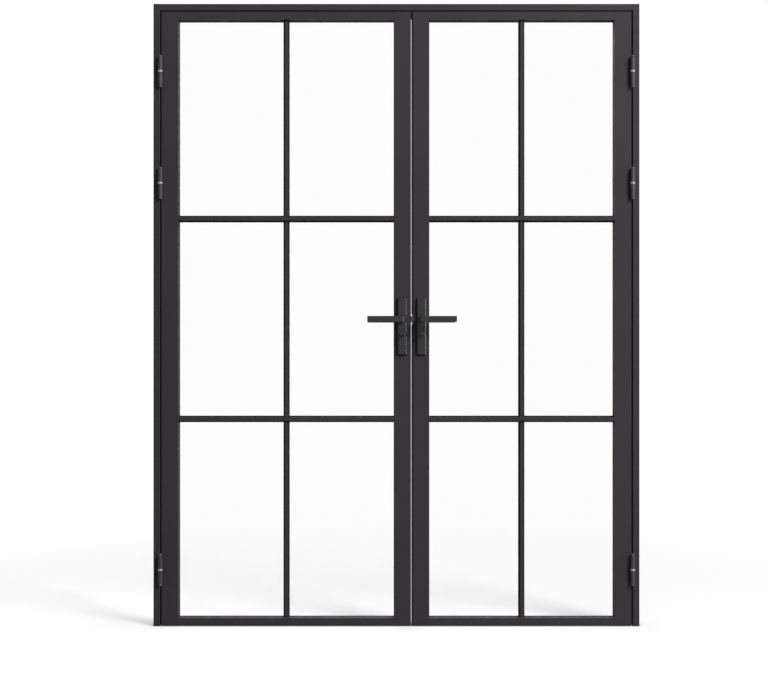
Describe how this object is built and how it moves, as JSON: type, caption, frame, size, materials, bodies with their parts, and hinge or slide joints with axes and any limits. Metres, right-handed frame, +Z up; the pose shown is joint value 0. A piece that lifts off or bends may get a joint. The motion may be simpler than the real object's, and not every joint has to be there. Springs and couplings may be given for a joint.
{
  "type": "french doors",
  "caption": "Black steel glazed doors with slim glazing bars, hung on barrel hinges in a slender steel frame, with lever handles on long plates and a lock with sliding bolts.",
  "frame": {"origin": "floor level, midway between the jambs, on the middle plane of the leaves", "axes": "+X to the viewer's right, +Y away from the viewer and from the side that the leaves open to, +Z up"},
  "size_m": [1.64, 0.149, 2.1],
  "materials": {
    "frame_coat": "fine matt black powder coat on steel",
    "leaf_coat": "fine matt black powder coat on steel",
    "hinge_coat": "satin black coat on turned steel",
    "handle_coat": "satin black coat on cast metal",
    "bright_steel": "bright steel",
    "clear_glass": "clear toughened glass",
    "black_rubber": "black extruded rubber"
  },
  "bodies": {
    "frame": {"left_jamb": "frame_coat", "right_jamb": "frame_coat", "frame_head": "frame_coat", "bolt_keeper": "hinge_coat", "rebate_seal": "black_rubber", "hinge_pins": "bright_steel", "bearing_rings": "bright_steel", "left_top_hinge_jamb_half": "hinge_coat", "left_middle_hinge_jamb_half": "hinge_coat", "left_bottom_hinge_jamb_half": "hinge_coat", "right_top_hinge_jamb_half": "hinge_coat", "right_middle_hinge_jamb_half": "hinge_coat", "right_bottom_hinge_jamb_half": "hinge_coat"},
    "left_leaf": {"left_hinge_stile": "leaf_coat", "left_meeting_stile": "leaf_coat", "left_top_rail": "leaf_coat", "left_bottom_rail": "leaf_coat", "left_lower_bar": "leaf_coat", "left_upper_bar": "leaf_coat", "left_upright_bars": "leaf_coat", "left_glass": "clear_glass", "left_gaskets": "black_rubber", "left_beads": "leaf_coat", "left_front_plate": "handle_coat", "left_back_plate": "handle_coat", "left_lock_case": "bright_steel", "left_top_hinge_leaf_half": "hinge_coat", "left_middle_hinge_leaf_half": "hinge_coat", "left_bottom_hinge_leaf_half": "hinge_coat"},
    "right_leaf": {"right_hinge_stile": "leaf_coat", "right_meeting_stile": "leaf_coat", "right_top_rail": "leaf_coat", "right_bottom_rail": "leaf_coat", "right_lower_bar": "leaf_coat", "right_upper_bar": "leaf_coat", "right_upright_bars": "leaf_coat", "right_glass": "clear_glass", "right_gaskets": "black_rubber", "right_beads": "leaf_coat", "right_front_plate": "handle_coat", "right_back_plate": "handle_coat", "right_lock_case": "bright_steel", "right_top_hinge_leaf_half": "hinge_coat", "right_middle_hinge_leaf_half": "hinge_coat", "right_bottom_hinge_leaf_half": "hinge_coat", "strike_plate": "bright_steel", "meeting_seal": "black_rubber"},
    "left_lever_set": {"left_front_lever": "handle_coat", "left_back_lever": "handle_coat", "left_spindle": "bright_steel"},
    "right_lever_set": {"right_front_lever": "handle_coat", "right_back_lever": "handle_coat", "right_spindle": "bright_steel"},
    "left_turn_set": {"left_thumbturn": "handle_coat", "left_release": "handle_coat"},
    "right_turn_set": {"right_thumbturn": "handle_coat", "right_release": "handle_coat"},
    "latch": {"left_latch_bolt": "bright_steel"},
    "dead_bolt": {"left_dead_bolt": "bright_steel"},
    "top_bolt": {"right_top_bolt": "bright_steel"}
  },
  "joints": [
    {"name": "left_leaf_swing", "type": "hinge", "parent": "frame", "child": "left_leaf", "pos_m": [-0.7955, -0.031, 0], "axis": [0, 0, -1], "range_deg": [0, 170]},
    {"name": "right_leaf_swing", "type": "hinge", "parent": "frame", "child": "right_leaf", "pos_m": [0.7955, -0.031, 0], "axis": [0, 0, 1], "range_deg": [0, 170]},
    {"name": "left_lever_press", "type": "hinge", "parent": "left_leaf", "child": "left_lever_set", "pos_m": [0.019, 0, 1.036], "axis": [0, -1, 0], "range_deg": [0, 40], "stiffness_Nm_per_rad": 1.5, "springref_deg": -28.65},
    {"name": "latch_slide", "type": "slide", "parent": "left_leaf", "child": "latch", "axis": [-1, 0, 0], "range_m": [0, 0.012]},
    {"name": "left_turn", "type": "hinge", "parent": "left_leaf", "child": "left_turn_set", "pos_m": [0.019, 0, 0.986], "axis": [0, -1, 0], "range_deg": [0, 90]},
    {"name": "dead_bolt_slide", "type": "slide", "parent": "left_leaf", "child": "dead_bolt", "axis": [1, 0, 0], "range_m": [0, 0.014]},
    {"name": "right_lever_press", "type": "hinge", "parent": "right_leaf", "child": "right_lever_set", "pos_m": [0.0845, 0, 1.036], "axis": [0, 1, 0], "range_deg": [0, 40], "stiffness_Nm_per_rad": 1.5, "springref_deg": -28.65},
    {"name": "top_bolt_slide", "type": "slide", "parent": "right_leaf", "child": "top_bolt", "axis": [0, 0, -1], "range_m": [0, 0.016]},
    {"name": "right_turn", "type": "hinge", "parent": "right_leaf", "child": "right_turn_set", "pos_m": [0.0845, 0, 0.986], "axis": [0, 1, 0], "range_deg": [0, 90]}
  ],
  "couplings": [
    {"joint": "latch_slide", "follows": "left_lever_press", "m_per_rad": 0.0171},
    {"joint": "left_turn", "follows": "dead_bolt_slide", "rad_per_m": 112.1},
    {"joint": "top_bolt_slide", "follows": "right_lever_press", "m_per_rad": 0.0229}
  ]
}
